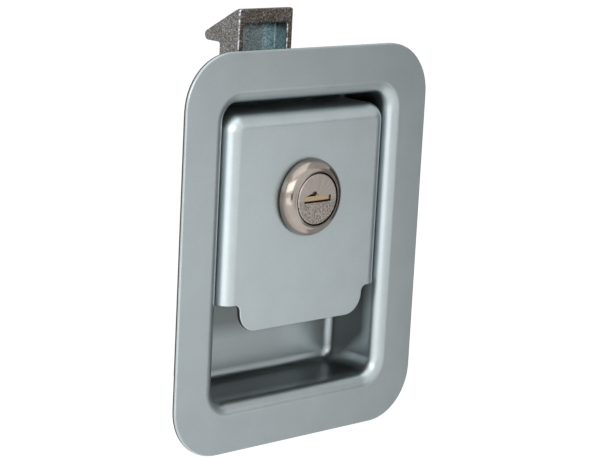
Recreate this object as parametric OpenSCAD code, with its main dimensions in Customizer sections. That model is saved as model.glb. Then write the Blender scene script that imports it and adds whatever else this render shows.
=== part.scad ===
// Flush paddle latch with a slam bolt and a key lock.
// X runs across the flange, Z up, Y back into the door. The door skin lies on Y = 0,
// behind the flange, and the origin is the centre of the four mounting studs.

/* [Flange and pan] */
// Width of the flange
flange_w = 94; // [88:1:110]
// Height of the flange
flange_h = 118; // [112:1:134]
// Corner radius of the flange
flange_corner_r = 16; // [12:0.5:19]
// Sheet thickness of the pan
pan_sheet = 1.2; // [0.9:0.1:1.6]
// Flat rim beside the recess
rim_w = 11; // [9:0.5:12]
// Flat rim above and below the recess
rim_h = 11; // [9:0.5:12.5]
// Corner radius of the recess at its mouth
mouth_corner_r = 9; // [8.5:0.25:12]
// Outer radius of the drawn edge round the mouth
mouth_bend_r = 4; // [3:0.25:4.5]
// Depth of the recess, from the face of the flange
recess_depth = 20.5; // [20:0.25:23]
// Inner radius where the walls turn into the rear wall
floor_bend_r = 3; // [2:0.25:3.5]
// Draft of the walls, in degrees
wall_draft = 2.5; // [1:0.25:3]

/* [Mounting studs] */
// Distance between the studs, left to right
stud_pitch_w = 32; // [28:1:44]
// Distance between the studs, top to bottom
stud_pitch_h = 103; // [102:0.5:105]
// Diameter of the studs
stud_d = 5; // [4:0.5:6]
// Length of the studs
stud_len = 13; // [10:1:18]
// Diameter of a stud's base, sunk in the rear of the flange
stud_base_d = 6.6; // [6.4:0.2:7.6]
// Thickness of a stud's base
stud_base_h = 0.5; // [0.3:0.05:0.6]

/* [Paddle] */
// Sheet thickness of the paddle
paddle_sheet = 1.5; // [1.2:0.1:1.8]
// Gap between the paddle and the side walls
paddle_side_gap = 1; // [0.9:0.1:1.6]
// Gap between the paddle and the top wall
paddle_top_gap = 3; // [2.5:0.25:4]
// Outer radius of the bend round the paddle
paddle_bend_r = 4.5; // [3.5:0.25:5]
// Corner radius of the paddle
paddle_corner_r = 5.5; // [5.25:0.25:8]
// Height of the paddle from its top to the shoulders
paddle_cup_h = 55.7; // [52:0.5:59]
// Depth of the paddle's side walls
paddle_cup_depth = 14.7; // [13.5:0.25:16]
// Width of the finger tongue
tongue_w = 48.4; // [40:1:50]
// Height of the finger tongue below the shoulders
tongue_h = 8.5; // [8:0.25:11]
// Corner radius of the finger tongue
tongue_corner_r = 6.3; // [3:0.25:7]
// Radius between tongue and shoulder
shoulder_r = 2; // [1:0.1:2.2]

/* [Hinge] */
// Angle that the paddle opens
open_angle = 32; // [24:1:34]
// Diameter of the hinge pin
pin_d = 5; // [4:0.25:5.5]
// Distance of the pin behind the face of the flange
pin_depth = 9.2; // [9:0.1:10]
// Diameter of the pin's head
pin_head_d = 7.5; // [7:0.25:9]
// Thickness of the pin's head
pin_head_h = 1.2; // [0.8:0.1:2]
// Diameter of the spacer washers
spacer_d = 9; // [8:0.25:10]
// Thickness of the retaining clip
clip_t = 0.7; // [0.5:0.1:1]
// Outer diameter of the retaining clip
clip_d = 8.6; // [8:0.2:10]
// Wire diameter of the paddle spring
coil_wire = 0.9; // [0.7:0.1:1.1]
// Mean diameter of the paddle spring
coil_d = 7.2; // [7:0.1:8]
// Full turns of the paddle spring
coil_turns = 4; // [3:1:5]

/* [Trip lever] */
// Width of the lever
lever_w = 12.6; // [11:0.2:13]
// Thickness of the lever
lever_sheet = 2.5; // [2:0.1:2.6]
// Bend radius inside the lever
lever_bend_r = 1; // [0.5:0.1:1.4]
// Height of the lever's foot, welded to the paddle
lever_foot_h = 12.4; // [10:0.2:12.4]
// Thickness of the lever's two ears
ear_t = 1.8; // [1.2:0.1:2.4]
// Outer diameter of the ears round the pin
ear_d = 10.4; // [9.5:0.1:11.5]
// Gap between the lever's arm and the paddle's top wall
arm_gap = 0.15; // [0.1:0.05:0.5]

/* [Bolt] */
// Width of the bolt
bolt_w = 21.1; // [20:0.1:22.5]
// Depth of the bolt's shank, front to back
bolt_depth = 8.8; // [8.4:0.1:10]
// Height of the bolt above the flange
bolt_proud = 9; // [8:0.25:11]
// How far the nose stands behind the shank
nose_reach = 7.1; // [5:0.1:9]
// Radius of the nose tip
nose_tip_r = 1.6; // [1:0.1:2]
// Height of the nose tip's centre below the bolt's top
nose_drop = 9.1; // [8:0.1:10]
// Flat land on the bolt's top, in front of the slope
nose_land = 1.3; // [0.5:0.1:3]
// Radius between nose and shank
nose_root_r = 0.8; // [0.4:0.1:1.4]
// Width of the bolt's side walls, beside the pocket
bolt_wall = 2.1; // [1.6:0.1:2.6]
// Depth of the pocket in the bolt's front
pocket_depth = 5.5; // [5:0.1:5.8]
// Solid band above the pocket
pocket_band = 4.4; // [3.5:0.1:6]
// Thickness of the bolt's foot, below the pocket
bolt_foot_h = 3.7; // [3:0.1:4.4]
// Corner radius of the casting
cast_r = 0.9; // [0.4:0.1:1.4]

/* [Bolt guide] */
// Sheet thickness of the guide
guide_sheet = 1.6; // [1.2:0.1:2]
// Bend radius inside the guide
guide_bend_r = 0.8; // [0.4:0.1:1]
// Width of each riveted foot
guide_foot_w = 9.6; // [8.5:0.2:10.5]
// Height of the riveted feet
guide_foot_h = 10.6; // [10.2:0.1:10.8]
// Height of the guide above the feet
guide_neck_h = 5; // [3:0.25:5.25]
// Distance between the two rivets of a foot
rivet_pitch = 5.6; // [5.2:0.1:5.8]
// Diameter of the rivet shanks
rivet_d = 3.2; // [2.4:0.1:3.4]
// Diameter of the rivet heads
rivet_head_d = 5; // [4.4:0.1:5.1]
// Height of the rivet heads
rivet_head_h = 1.1; // [0.8:0.1:1.4]
// Diameter of the stop pin in the bolt
stop_d = 3; // [2:0.1:3.5]
// Wire diameter of the bolt springs
spring_wire = 0.6; // [0.5:0.05:0.7]
// Outer diameter of the bolt springs
spring_d = 4.6; // [4.2:0.1:4.8]
// Turns of each bolt spring
spring_turns = 9; // [7:1:11]
// Distance between the two bolt springs
spring_pitch = 14.8; // [14:0.1:15.4]
// Diameter of the spring guide pins
spring_pin_d = 2.4; // [2:0.1:2.6]

/* [Lock] */
// Distance of the lock axis below the hinge pin
lock_drop = 18.4; // [18:0.1:19]
// Diameter of the domed bezel
bezel_d = 23.2; // [22:0.1:25]
// Height of the dome
bezel_h = 4.3; // [3.8:0.1:4.6]
// Diameter of the threaded barrel
barrel_d = 18.6; // [18:0.1:19]
// Width over the barrel's flats
barrel_flats = 16.4; // [15.6:0.1:17]
// Diameter of the plug's face
face_d = 15.4; // [14.6:0.1:15.8]
// Diameter of the plug
plug_d = 12.5; // [12:0.1:13]
// Sheet thickness of the plug's cap
cap_sheet = 0.45; // [0.3:0.05:0.6]
// Length of the key slot
key_slot_w = 10.4; // [9:0.1:10.8]
// Height of the key slot
key_slot_h = 1.9; // [1.6:0.1:2.2]
// Width across the flats of the nut
nut_af = 22; // [21:0.25:22.5]
// Thickness of the nut
nut_h = 3; // [2:0.25:4]
// Thickness of the toothed washer
toothed_washer_h = 0.6; // [0.4:0.1:1]
// Number of wafers
wafer_count = 5; // [3:1:5]
// Thickness of a wafer
wafer_t = 0.9; // [0.7:0.1:1.1]
// Distance between the wafers
wafer_pitch = 2.5; // [2.2:0.1:2.6]
// Length of the cam from the lock's axis
cam_len = 15; // [13:0.25:15.5]
// Width of the cam
cam_w = 10; // [8:0.25:11]
// Thickness of the cam
cam_t = 1.6; // [1.2:0.1:2]
// Side of the square drive on the plug
drive_sq = 6.2; // [5.5:0.1:7]
// Diameter of the cam screw's head
screw_head_d = 7; // [6:0.1:7.4]
// Height of the cam screw's head
screw_head_h = 2; // [1.4:0.1:2.2]
// Length of the cam screw in the plug
screw_len = 6; // [4.5:0.25:7]

/* [Fits] */
// Radial clearance of parts that turn or slide in a bore
run_fit = 0.05; // [0.02:0.01:0.1]
// Radial clearance of pins and rivets that are held fast
press_fit = 0.02; // [0.01:0.01:0.04]
// Gap between faces that pass each other
face_gap = 0.3; // [0.2:0.05:0.4]
// Gap between the bolt and its guide
guide_gap = 0.3; // [0.2:0.05:0.4]
// Gap between the lever and the edges of its window
window_gap = 0.35; // [0.25:0.05:0.5]

/* [Hidden] */
$fn = 96;
zinc = [0.62, 0.67, 0.69];
casting = [0.5, 0.5, 0.48];
nickel = [0.72, 0.69, 0.66];
brass = [0.77, 0.63, 0.36];
steel = [0.66, 0.66, 0.65];
spring_steel = [0.55, 0.56, 0.58];
nylon = [0.16, 0.16, 0.17];

// How far shapes of one solid reach into each other
lap = 0.2;

// Pan: mouth bend, drafted wall and floor bend, seen from the centre of a corner
face_y = -pan_sheet;
floor_y = face_y + recess_depth;
back_y = floor_y + pan_sheet;
mouth_x = flange_w / 2 - rim_w;
mouth_z = flange_h / 2 - rim_h;
corner_x = mouth_x - mouth_corner_r;
corner_z = mouth_z - mouth_corner_r;
wall_u = mouth_corner_r - mouth_bend_r;
wall_x = corner_x + wall_u;
wall_z = corner_z + wall_u;
mouth_bend_y = face_y + mouth_bend_r;
floor_bend_y = floor_y - floor_bend_r;
function wall_inset(y) = (y - mouth_bend_y) * tan(wall_draft);
// Rounded to a micron, so that wall and floor bend share one edge
floor_inset = round(1000 * wall_inset(floor_bend_y)) / 1000;
floor_bend_u = wall_u - floor_inset - floor_bend_r;
floor_flat_z = corner_z + floor_bend_u;

// Chamfer at the end of a stud
stud_tip_h = 0.6;

// Paddle
paddle_x = wall_x - paddle_side_gap;
paddle_z = wall_z - paddle_top_gap;
paddle_cx = paddle_x - paddle_corner_r;
paddle_cz = paddle_z - paddle_corner_r;
paddle_back_y = face_y + paddle_sheet;
cup_rim_y = face_y + paddle_cup_depth;
shoulder_z = paddle_z - paddle_cup_h;
tongue_z = shoulder_z - tongue_h;
pin_y = face_y + pin_depth;
// Bolt: its pocket takes the lever, and its foot lies under the lever's tip
bolt_front_y = back_y + guide_gap;
bolt_back_y = bolt_front_y + bolt_depth;
pocket_y = bolt_front_y + pocket_depth;
bolt_top = flange_h / 2 + bolt_proud;
tip_centre_y = bolt_back_y + nose_reach - nose_tip_r;
tip_centre_z = bolt_top - nose_drop;

// Lever: its arm runs under the paddle's top wall, and its tip swings as far above the pin
// as below it
half_swing = open_angle / 2;
lever_r = pocket_y - face_gap - lever_sheet / 2 - pin_y;
lever_tip_y = pin_y + lever_r * cos(half_swing);
lever_tip_z = paddle_z - paddle_sheet - arm_gap - lever_sheet / 2;
pin_z = lever_tip_z - lever_r * sin(half_swing);
lever_top = lever_tip_z + lever_sheet / 2;
lever_low = lever_tip_z - lever_sheet / 2;
lever_foot_z = lever_top - lever_foot_h;
bolt_travel = 2 * lever_r * sin(half_swing);
pocket_z = lever_low - window_gap;
bolt_low = pocket_z - bolt_foot_h;

// Hinge pin
spacer_gap = 0.12;
pin_wall_x = wall_x - wall_inset(pin_y + spacer_d / 2);
pin_outer_x = wall_x - wall_inset(pin_y - clip_d / 2) + pan_sheet;
clip_x = pin_outer_x + spacer_gap;
pin_tail = 1;
clip_groove_d = pin_d - 1;

// Window for the lever, from its places at rest and fully open
lever_lift = lever_low - pin_z;
open_run = (back_y - pin_y - lever_lift * sin(open_angle)) / cos(open_angle);
lever_window_low = pin_z + lever_lift * cos(open_angle) - open_run * sin(open_angle) - window_gap;
lever_window_top = lever_top + window_gap;
lever_side_gap = 0.6;
lever_window_w = lever_w + 2 * lever_side_gap;

// Lock and cam, on the paddle
lock_z = pin_z - lock_drop;
dome_r = bezel_h - 0.3;
barrel_end_y = back_y - 0.9;
collar_y = face_y - 1;
cap_front_y = face_y - bezel_h - 0.05;
cap_back_y = collar_y - 0.1;
cap_gap = 0.25;
plug_end_y = barrel_end_y + 0.15;
stop_t = 0.8;
cam_front_y = back_y + face_gap;
cam_back_y = cam_front_y + cam_t;
cam_washer_h = 0.6;
cam_hub_d = 15;
screw_d = 3.6;
screw_y = cam_back_y + cam_washer_h;
screw_back_y = screw_y + screw_head_h;
stop_tab_half = 12;
stop_slack = 2;

// Window for the lock: the cam leaves it on an arc round the hinge pin
cam_reach = sqrt(pow(cam_back_y - pin_y, 2) + pow(lock_drop + cam_len, 2));
cam_leaves = sqrt(pow(cam_reach, 2) - pow(floor_y - pin_y, 2));
lock_window_low = pin_z - cam_leaves - window_gap;
lock_window_top = lock_z + barrel_d / 2 + 2 * window_gap;
lock_window_w = barrel_d + 4 * window_gap;
window_r = 1.5;

// Guide: feet riveted to the rear wall, legs behind the cam, and a tab under the springs
guide_x = bolt_w / 2 + guide_gap;
guide_y = bolt_back_y + guide_gap;
guide_back_y = guide_y + guide_sheet;
guide_outer_x = guide_x + guide_sheet;
foot_top = floor_flat_z - 0.1;
foot_low = foot_top - guide_foot_h;
guide_top = foot_top + guide_neck_h;
rivet_x = guide_outer_x + guide_foot_w / 2;
rivet_zs = [(foot_top + foot_low - rivet_pitch) / 2, (foot_top + foot_low + rivet_pitch) / 2];
spring_y = guide_y - spring_d / 2 - guide_gap;
leg_front_y = screw_back_y - 0.5;
seat_top = lock_z - screw_head_d / 2 - 1;
seat_low = seat_top - guide_sheet;
spring_pin_low = seat_low - 2;
foot_floor = 0.6;
stop_z = lever_tip_z + 1.3;
stop_slot_w = stop_d + 0.4;

// Shutter behind the key slot
shutter_t = 0.4;
shutter_eye_d = 1;
shutter_pin_d = 0.6;
shutter_w = key_slot_w + 0.2;
shutter_y = cap_front_y + cap_sheet + 0.1;
shutter_eye_y = shutter_y + shutter_eye_d / 2;
shutter_eye_z = lock_z + key_slot_h / 2 + shutter_eye_d / 2 + 0.1;
shutter_low = lock_z - key_slot_h / 2 - 0.25;
shutter_room = shutter_eye_z - shutter_low + 0.6;
wafer_rim = 1.55;
keyway_h = key_slot_h + 0.2;
keyway_w = key_slot_w - 0.6;
hump_h = 2;
wafer_w = plug_d - 2 * wafer_rim;

// ---- shared shapes ----

// Extrudes an outline drawn in X and Z from y0 to y1
module plate_y(y0, y1) translate([0, y1, 0]) rotate([90, 0, 0]) linear_extrude(y1 - y0) children();

// Extrudes an outline drawn in Y and Z from x0 to x1
module plate_x(x0, x1) translate([x0, 0, 0]) rotate([90, 0, 90]) linear_extrude(x1 - x0) children();

// Turns an outline of radius and depth round an axis along Y
module turn_y(angle = 360) rotate([-90, 0, 0]) rotate_extrude(angle = angle) children();

module rod_y(d, y0, y1) translate([0, y0, 0]) rotate([-90, 0, 0]) cylinder(d = d, h = y1 - y0);
module rod_x(d, x0, x1) translate([x0, 0, 0]) rotate([0, 90, 0]) cylinder(d = d, h = x1 - x0);

module mirrored_x() { children(); mirror([1, 0, 0]) children(); }

module round_rect(w, h, r) {
    square([w, h - 2 * r], center = true);
    square([w - 2 * r, h], center = true);
    for (sx = [-1, 1], sz = [-1, 1]) translate([sx * (w / 2 - r), sz * (h / 2 - r)]) circle(r);
}

// Part of a flat ring, between two angles up to 90 degrees apart
module bend(r_in, r_out, a0, a1) {
    reach = 2 * r_out;
    middle = (a0 + a1) / 2;
    intersection() {
        difference() { circle(r_out); circle(r_in); }
        polygon([[0, 0], reach * [cos(a0), sin(a0)],
                 1.5 * reach * [cos(middle), sin(middle)], reach * [cos(a1), sin(a1)]]);
    }
}

// Round wire along a list of points; its rings turn as little as the path allows
module wire(points, d, sides) {
    count = len(points);
    function unit(v) = v / norm(v);
    function ahead(i) = unit(points[min(i + 1, count - 1)] - points[max(i - 1, 0)]);
    function square_to(v, i) = unit(v - (v * ahead(i)) * ahead(i));
    across = [for (i = 0, v = square_to([0.6, 0.5, 0.4], 0); i < count; i = i + 1,
                   v = i < count ? square_to(v, i) : v) v];
    rings = [for (i = [0 : count - 1], k = [0 : sides - 1])
        points[i] + d / 2 * (cos(360 * k / sides) * across[i]
                             + sin(360 * k / sides) * cross(ahead(i), across[i]))];
    walls = [for (i = [0 : count - 2], k = [0 : sides - 1])
        let (n = (k + 1) % sides) [i * sides + k, (i + 1) * sides + k, (i + 1) * sides + n, i * sides + n]];
    ends = [[for (k = [0 : sides - 1]) k], [for (k = [sides - 1 : -1 : 0]) (count - 1) * sides + k]];
    polyhedron(rings, concat(walls, ends));
}

// ---- pan ----

// Section of the drawn edge, with the radius from the corner's centre as its first measure
module pan_section() {
    translate([mouth_corner_r, face_y]) square([lap, pan_sheet]);
    translate([mouth_corner_r, mouth_bend_y]) bend(mouth_bend_r - pan_sheet, mouth_bend_r, 180, 270);
    polygon([[wall_u, mouth_bend_y], [wall_u - floor_inset, floor_bend_y],
             [wall_u - floor_inset + pan_sheet, floor_bend_y], [wall_u + pan_sheet, mouth_bend_y]]);
    translate([floor_bend_u, floor_bend_y]) bend(floor_bend_r, floor_bend_r + pan_sheet, 0, 90);
    translate([floor_bend_u - lap, floor_y]) square([lap, pan_sheet]);
}

module pan_shell() {
    plate_y(face_y, 0) difference() {
        round_rect(flange_w, flange_h, flange_corner_r);
        round_rect(2 * mouth_x, 2 * mouth_z, mouth_corner_r);
    }
    plate_y(floor_y, back_y)
        round_rect(2 * (corner_x + floor_bend_u), 2 * floor_flat_z, floor_bend_u);
    mirrored_x() translate([corner_x, 0, -corner_z]) linear_extrude(2 * corner_z) pan_section();
    for (up = [0, 1]) mirror([0, 0, up])
        translate([corner_x, 0, corner_z]) rotate([0, -90, 0])
            linear_extrude(2 * corner_x) pan_section();
    for (up = [0, 1]) mirror([0, 0, up]) mirrored_x()
        translate([corner_x, 0, corner_z]) mirror([0, 0, 1]) turn_y(90) pan_section();
}

module lever_window() translate([0, (lever_window_low + lever_window_top) / 2])
    round_rect(lever_window_w, lever_window_top - lever_window_low, 0.8);

module lock_window() translate([0, (lock_window_low + lock_window_top) / 2])
    round_rect(lock_window_w, lock_window_top - lock_window_low, window_r);

module at_studs() for (sx = [-1, 1], sz = [-1, 1])
    translate([sx * stud_pitch_w / 2, 0, sz * stud_pitch_h / 2]) children();

module at_rivets() for (sx = [-1, 1], z = rivet_zs) translate([sx * rivet_x, 0, z]) children();

// Deep-drawn sheet pan: flange, recess and rear wall in one piece
module pan() color(zinc) difference() {
    pan_shell();
    plate_y(floor_y - 1, back_y + 1) { lever_window(); lock_window(); }
    translate([0, pin_y, pin_z]) rod_x(pin_d + 2 * press_fit, -flange_w / 2, flange_w / 2);
    at_rivets() rod_y(rivet_d + 2 * press_fit, floor_y - 1, back_y + 1);
    at_studs() rod_y(stud_base_d + 2 * press_fit, -stud_base_h, 1);
}

// Four studs, their bases sunk and welded in the back of the flange, so that it lies flat
module mounting_studs() color(steel) at_studs() {
    rod_y(stud_base_d, -stud_base_h, 0);
    rod_y(stud_d, -stud_base_h, stud_len - stud_tip_h);
    translate([0, stud_len - stud_tip_h, 0]) rotate([-90, 0, 0])
        cylinder(d1 = stud_d, d2 = stud_d - 2 * stud_tip_h, h = stud_tip_h);
}

// ---- bolt guide ----

// Hat section round the bolt, drawn in X and Y
module guide_section() mirrored_x() {
    outer_r = guide_bend_r + guide_sheet;
    foot_end = guide_outer_x + guide_foot_w;
    translate([-1, guide_y]) square([guide_x - guide_bend_r + 1, guide_sheet]);
    translate([guide_x - guide_bend_r, guide_y - guide_bend_r]) bend(guide_bend_r, outer_r, 0, 90);
    translate([guide_x, back_y + outer_r])
        square([guide_sheet, guide_y - guide_bend_r - back_y - outer_r]);
    translate([guide_outer_x + guide_bend_r, back_y + outer_r]) bend(guide_bend_r, outer_r, 180, 270);
    translate([guide_outer_x + guide_bend_r, back_y])
        square([foot_end - guide_outer_x - guide_bend_r, guide_sheet]);
}

// Sheet guide: the bolt slides in it, and its tab carries the springs
module bolt_guide() color(zinc) difference() {
    union() {
        translate([0, 0, foot_low]) linear_extrude(guide_foot_h) guide_section();
        intersection() {
            translate([0, 0, seat_low]) linear_extrude(guide_top - seat_low) guide_section();
            union() {
                translate([-guide_outer_x, leg_front_y, seat_low])
                    cube([2 * guide_outer_x, guide_back_y - leg_front_y, foot_low - seat_low + 1]);
                translate([-guide_outer_x, back_y, foot_low])
                    cube([2 * guide_outer_x, guide_back_y - back_y, guide_top - foot_low]);
            }
        }
        translate([-guide_x - 0.4, leg_front_y, seat_low])
            cube([2 * guide_x + 0.8, guide_y + 0.4 - leg_front_y, guide_sheet]);
    }
    at_rivets() rod_y(rivet_d + 2 * press_fit, back_y - 1, back_y + guide_sheet + 1);
    plate_y(guide_y - 1, guide_back_y + 1)
        translate([0, stop_z - bolt_travel / 2]) round_slot(stop_slot_w, bolt_travel + stop_slot_w);
    for (sx = [-1, 1]) translate([sx * spring_pitch / 2, spring_y, seat_low - 1])
        cylinder(d = spring_pin_d + 2 * run_fit, h = guide_sheet + 2);
}

module round_slot(w, h) {
    square([w, h - w], center = true);
    for (s = [-1, 1]) translate([0, s * (h - w) / 2]) circle(d = w);
}

// Rivets through the guide's feet and the rear wall of the pan
module guide_rivets() color(steel) at_rivets() {
    rod_y(rivet_d, floor_y - lap, back_y + guide_sheet + lap);
    translate([0, floor_y, 0]) rivet_head(1);
    translate([0, back_y + guide_sheet, 0]) rivet_head(-1);
}

// Domed head that stands towards the front when side is 1
module rivet_head(side) {
    cap_r = (pow(rivet_head_d / 2, 2) + pow(rivet_head_h, 2)) / (2 * rivet_head_h);
    mirror([0, side > 0 ? 0 : 1, 0]) turn_y() intersection() {
        translate([0, cap_r - rivet_head_h]) circle(cap_r);
        translate([0, -rivet_head_h]) square([rivet_head_d, rivet_head_h]);
    }
}

// ---- hinge ----

// Headed pin across the pan, on which the paddle turns
module hinge_pin() color(steel) translate([0, pin_y, pin_z]) difference() {
    union() {
        rod_x(pin_d, -pin_outer_x - spacer_gap, clip_x + clip_t + pin_tail);
        rod_x(pin_head_d, -pin_outer_x - spacer_gap - pin_head_h, -pin_outer_x - spacer_gap);
    }
    difference() {
        rod_x(pin_d + 1, clip_x, clip_x + clip_t);
        rod_x(clip_groove_d, clip_x - 1, clip_x + clip_t + 1);
    }
}

// Snap ring in the groove of the hinge pin
module pin_clip() color(spring_steel) translate([clip_x, pin_y, pin_z]) rotate([90, 0, 90])
    linear_extrude(clip_t) difference() {
        circle(d = clip_d);
        circle(d = clip_groove_d + 2 * press_fit);
        translate([-clip_groove_d * 0.42, -clip_d]) square([clip_groove_d * 0.84, clip_d]);
        for (a = [35, 145]) rotate(a) translate([clip_d / 2 - 0.9, 0]) circle(d = 1, $fn = 24);
    }

// Washers that keep the paddle central between the pan's walls
module pin_spacers() color(nylon) mirrored_x() translate([0, pin_y, pin_z]) difference() {
    rod_x(spacer_d, paddle_x + spacer_gap, pin_wall_x - spacer_gap);
    rod_x(pin_d + 2 * run_fit, paddle_x, pin_wall_x);
}

// Torsion spring: one leg rests on the rear wall, the other hooks under the lever
module paddle_spring() {
    r = coil_d / 2;
    pitch = coil_wire * 1.12;
    hook_run = 8.4;
    first_x = lever_w / 2 + 1.4;
    wall_leg = [floor_y - coil_wire / 2 - face_gap, floor_flat_z - 1] - [pin_y, pin_z];
    hook_leg = [pin_y + hook_run, lever_low - coil_wire / 2 - 0.1] - [pin_y, pin_z];
    function leave(leg) = acos(r / norm(leg));
    start = atan2(wall_leg[1], wall_leg[0]) + leave(wall_leg);
    end = atan2(hook_leg[1], hook_leg[0]) - leave(hook_leg) + 360 * (coil_turns + 1);
    steps = ceil((end - start) / 22.5);
    last_x = first_x + pitch * (end - start) / 360;
    function at(x, leg) = [x, pin_y + leg[0], pin_z + leg[1]];
    coil = [for (i = [0 : steps]) let (a = start + (end - start) * i / steps)
        at(last_x - (last_x - first_x) * i / steps, r * [cos(a), sin(a)])];
    color(spring_steel)
        wire(concat([at(last_x, wall_leg)], coil,
                    [at(first_x, hook_leg - [1, 0]), at(first_x - 1, hook_leg), at(1, hook_leg)]),
             coil_wire, 8);
}

// ---- paddle ----

module paddle_section() {
    start = paddle_corner_r - paddle_bend_r;
    translate([start - min(lap, start), face_y]) square([min(lap, start), paddle_sheet]);
    translate([start, face_y + paddle_bend_r]) bend(paddle_bend_r - paddle_sheet, paddle_bend_r, 270, 360);
    translate([paddle_corner_r - paddle_sheet, face_y + paddle_bend_r])
        square([paddle_sheet, cup_rim_y - face_y - paddle_bend_r]);
}

// Face of the paddle up to the start of its bends, with the tongue, in X and Z
module paddle_face() {
    start = paddle_corner_r - paddle_bend_r;
    tongue_x = tongue_w / 2;
    translate([-paddle_cx - start, shoulder_z])
        square([2 * (paddle_cx + start), paddle_cz - shoulder_z]);
    translate([-paddle_cx, shoulder_z]) square([2 * paddle_cx, paddle_cz + start - shoulder_z]);
    mirrored_x() translate([paddle_cx, paddle_cz]) circle(start);
    translate([-tongue_x, tongue_z + tongue_corner_r])
        square([tongue_w, shoulder_z + 1 - tongue_z - tongue_corner_r]);
    translate([-tongue_x + tongue_corner_r, tongue_z])
        square([tongue_w - 2 * tongue_corner_r, tongue_h]);
    mirrored_x() {
        translate([tongue_x - tongue_corner_r, tongue_z + tongue_corner_r]) circle(tongue_corner_r);
        difference() {
            translate([tongue_x - 1, shoulder_z - shoulder_r]) square([shoulder_r + 1, shoulder_r + 1]);
            translate([tongue_x + shoulder_r, shoulder_z - shoulder_r]) circle(shoulder_r);
            translate([paddle_cx, shoulder_z]) square([paddle_corner_r + shoulder_r, 2]);
        }
    }
}

// Round outline with two flats at the sides
module flatted(d, flats) intersection() {
    circle(d = d);
    square([flats, d + 1], center = true);
}

// Pressed sheet paddle: a shallow cup with a flat finger tongue
module paddle() color(zinc) difference() {
    union() {
        plate_y(face_y, paddle_back_y) paddle_face();
        mirrored_x() translate([paddle_cx, 0, shoulder_z])
            linear_extrude(paddle_cz - shoulder_z) paddle_section();
        translate([paddle_cx, 0, paddle_cz]) rotate([0, -90, 0])
            linear_extrude(2 * paddle_cx) paddle_section();
        mirrored_x() translate([paddle_cx, 0, paddle_cz]) mirror([0, 0, 1]) turn_y(90) paddle_section();
    }
    plate_y(face_y - 1, paddle_back_y + 1) translate([0, lock_z])
        flatted(barrel_d + 2 * run_fit, barrel_flats + 2 * run_fit);
    translate([0, pin_y, pin_z]) rod_x(pin_d + 2 * run_fit, -paddle_x - 1, paddle_x + 1);
}

// Pressed lever: foot on the paddle's back, arm through the pan's window, ears on the pin
module trip_lever() color(zinc) {
    outer_r = lever_bend_r + lever_sheet;
    foot_y = paddle_back_y;
    difference() {
        union() {
            plate_x(-lever_w / 2, lever_w / 2) {
                translate([foot_y, lever_foot_z])
                    square([lever_sheet, lever_top - outer_r - lever_foot_z]);
                translate([foot_y + outer_r, lever_top - outer_r]) bend(lever_bend_r, outer_r, 90, 180);
                translate([foot_y + outer_r, lever_low])
                    square([lever_tip_y - foot_y - outer_r, lever_sheet]);
                translate([lever_tip_y, lever_tip_z]) circle(d = lever_sheet);
            }
            mirrored_x() plate_x(lever_w / 2 - ear_t, lever_w / 2) {
                translate([pin_y, pin_z]) circle(d = ear_d);
                translate([pin_y - ear_d / 2, pin_z]) square([ear_d, lever_low + lap - pin_z]);
            }
        }
        translate([0, pin_y, pin_z]) rod_x(pin_d + 2 * run_fit, -lever_w, lever_w);
    }
}

// ---- lock ----

module at_lock() translate([0, 0, lock_z]) children();

// Plain ring along Y
module ring_y(d_out, d_in, y0, y1) difference() {
    rod_y(d_out, y0, y1);
    rod_y(d_in, y0 - 1, y1 + 1);
}

// Part of a ring round the lock's axis, between two angles in X and Z
module ring_part(r_in, r_out, a0, a1) {
    parts = ceil((a1 - a0) / 80);
    for (i = [0 : parts - 1])
        bend(r_in, r_out, a0 + (a1 - a0) * i / parts, a0 + (a1 - a0) * (i + 1) / parts);
}

// Domed bezel and flatted barrel in one casting, with the stop for the plug's turn at its end
module lock_housing() color(nickel) at_lock() difference() {
    union() {
        turn_y() {
            translate([0, face_y - 0.3]) square([bezel_d / 2, 0.3]);
            intersection() {
                translate([bezel_d / 2 - dome_r, face_y - 0.3]) circle(dome_r);
                translate([bezel_d / 2 - dome_r, face_y - bezel_h]) square([dome_r, bezel_h]);
            }
            translate([0, face_y - bezel_h]) square([bezel_d / 2 - dome_r, bezel_h]);
        }
        plate_y(face_y - 0.1, barrel_end_y) flatted(barrel_d, barrel_flats);
        plate_y(barrel_end_y - 0.5, barrel_end_y + stop_t)
            intersection() {
                flatted(barrel_d, barrel_flats);
                ring_part(plug_d / 2 + 0.6, barrel_d,
                          270 + stop_tab_half + stop_slack, 540 - stop_tab_half - stop_slack);
            }
    }
    rod_y(plug_d + 2 * run_fit, face_y - bezel_h - 1, back_y + 1);
    rod_y(face_d + 2 * cap_gap, face_y - bezel_h - 1, collar_y);
}

// Washer with short teeth between paddle and nut
module toothed_washer() color(spring_steel) at_lock()
    plate_y(paddle_back_y, paddle_back_y + toothed_washer_h) difference() {
        circle(d = nut_af - 1.2);
        circle(d = barrel_d + 2 * run_fit);
        for (i = [0 : 17]) rotate(20 * i) translate([nut_af / 2 - 1.1, 0]) circle(d = 0.9, $fn = 24);
    }

// Hexagon nut that holds the lock in the paddle
module lock_nut() color(steel) at_lock() {
    nut_y = paddle_back_y + toothed_washer_h;
    difference() {
        intersection() {
            plate_y(nut_y, nut_y + nut_h) circle(r = nut_af / sqrt(3), $fn = 6);
            rod_y(nut_af * 1.12, nut_y, nut_y + nut_h);
        }
        rod_y(barrel_d + 2 * run_fit, nut_y - 1, nut_y + nut_h + 1);
    }
}

// Key slot with the hump of the key's profile, drawn round the lock's axis
module key_slot(w, h) {
    square([w, h], center = true);
    translate([-w * 0.13, h / 2]) {
        circle(d = hump_h, $fn = 48);
        polygon(hump_h * [[-0.95, -0.1], [-0.37, 0.35], [0.37, 0.35], [0.95, -0.1]]);
    }
}

// Wafers: where the first stands, and how far their windows differ
wafer_first_y = 3;
wafer_step = 0.35;
function wafer_y(i) = wafer_first_y + i * wafer_pitch;

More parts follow.
